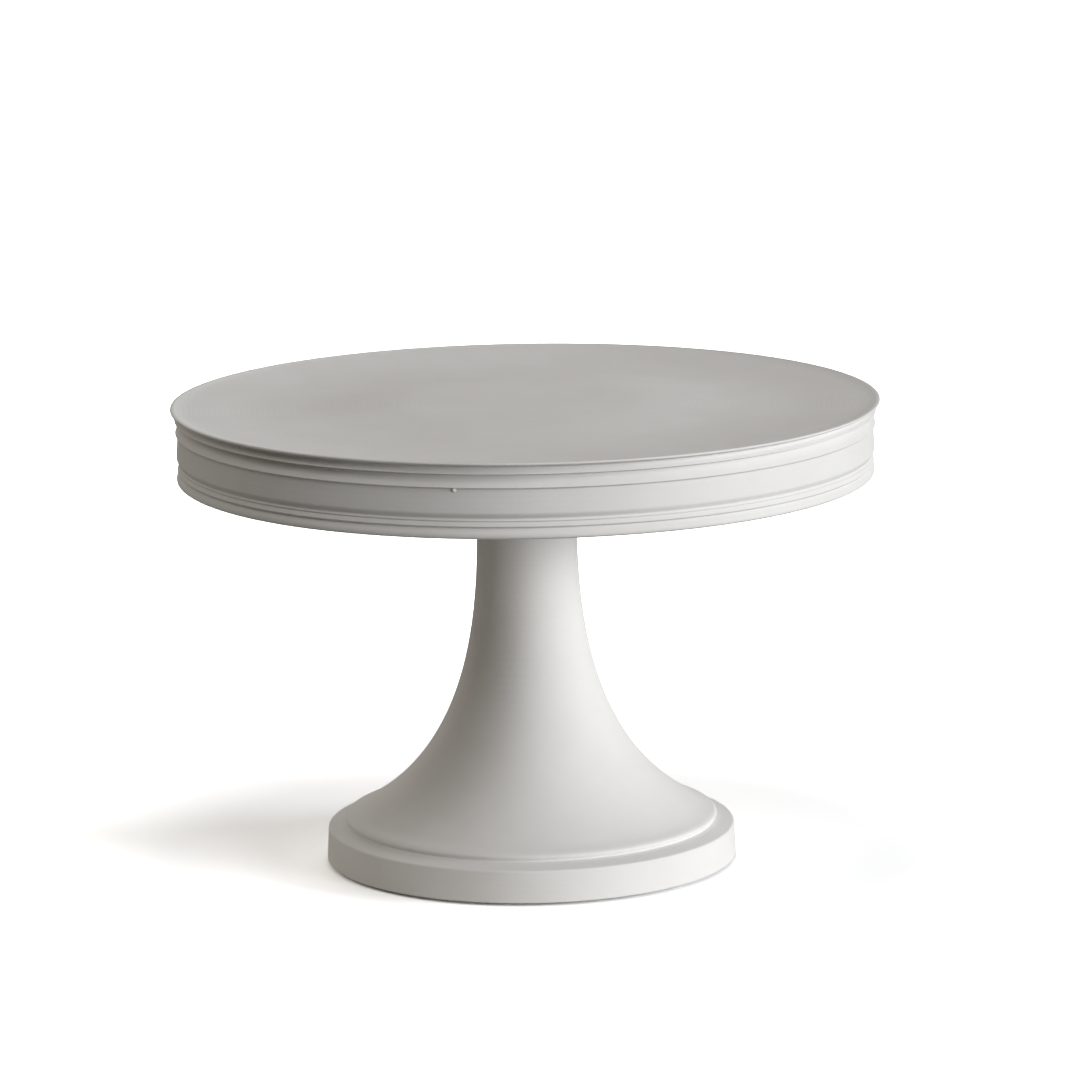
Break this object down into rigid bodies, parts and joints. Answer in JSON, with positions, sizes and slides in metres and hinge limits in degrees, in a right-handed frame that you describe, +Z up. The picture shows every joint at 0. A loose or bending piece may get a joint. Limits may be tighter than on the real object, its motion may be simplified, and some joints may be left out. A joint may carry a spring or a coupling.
{
  "type": "pedestal cake stand",
  "caption": "Round pedestal cake stand: a skirted ceramic plate with a thin lip and moulded apron, bolted to a hollow trumpet stem on a stepped round foot.",
  "frame": {"origin": "on the stand's centre line, at table level (the bumpers' lower faces)", "axes": "+Z up along the stem; the stand is round, so +X and +Y only place the bumpers, at odd multiples of 45 degrees"},
  "size_m": [0.305, 0.305, 0.2015],
  "materials": {
    "plate_ceramic": "matte",
    "pedestal_ceramic": "matte",
    "cork": "matte",
    "brass": "satin",
    "zinc_steel": "satin",
    "black_rubber": "matte",
    "silicone": "satin"
  },
  "bodies": {
    "pedestal": {"pedestal": "pedestal_ceramic", "joint_gasket": "cork", "foot_bumper_1": "silicone", "foot_bumper_2": "silicone", "foot_bumper_3": "silicone", "foot_bumper_4": "silicone"},
    "plate": {"plate": "plate_ceramic", "threaded_insert": "brass"},
    "washers": {"rubber_washer": "black_rubber", "flat_washer": "zinc_steel"},
    "bolt": {"clamp_bolt": "zinc_steel"}
  },
  "joints": [
    {"name": "plate_lift", "type": "slide", "parent": "pedestal", "child": "plate", "axis": [0, 0, 1], "range_m": [0, 0.04]},
    {"name": "bolt_drop", "type": "slide", "parent": "pedestal", "child": "washers", "axis": [0, 0, -1], "range_m": [0, 0.01125]},
    {"name": "bolt_turn", "type": "hinge", "parent": "washers", "child": "bolt", "pos_m": [0, 0, 0.16], "axis": [0, 0, -1], "range_deg": [0, 3240]}
  ],
  "couplings": [
    {"joint": "bolt_turn", "follows": "bolt_drop", "rad_per_m": 5026.5}
  ]
}
